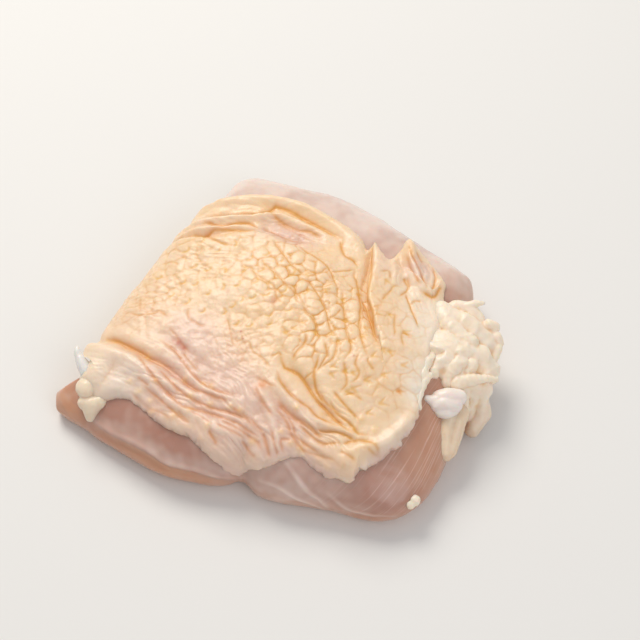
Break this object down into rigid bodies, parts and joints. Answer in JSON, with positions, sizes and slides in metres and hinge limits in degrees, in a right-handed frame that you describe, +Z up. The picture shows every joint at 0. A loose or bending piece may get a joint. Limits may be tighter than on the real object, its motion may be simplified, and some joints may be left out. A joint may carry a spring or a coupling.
{
  "type": "raw chicken breast",
  "caption": "Raw chicken breast half with its skin on, lying skin side up: pink muscle, loose folded pale yellow skin and white fat at the broad end.",
  "frame": {"origin": "on the supporting surface, under the middle of the whole piece", "axes": "+Z up, +X from the pointed end to the fatty broad end, +Y to the long bare edge of the muscle on the far side"},
  "size_m": [0.1682, 0.1538, 0.033],
  "materials": {
    "raw_muscle": "wet raw white meat, pale pink, finely fibrous, translucent",
    "raw_skin": "moist poultry skin, pale yellow, creased into small cells, with feather follicles",
    "white_fat": "moist cream-white fat, crumpled, softly glossy",
    "pale_fat": "smooth wet fat lobe with a thin film over it, pinkish white",
    "gristle": "wet white gristle, smooth, slightly translucent"
  },
  "bodies": {
    "root": {"breast_muscle": "raw_muscle", "skin": "raw_skin", "end_fat": "white_fat", "fat_knob": "white_fat", "fat_fleck": "white_fat", "pale_lobe": "pale_fat", "long_lobe": "pale_fat", "gristle_tip": "gristle"}
  },
  "joints": []
}
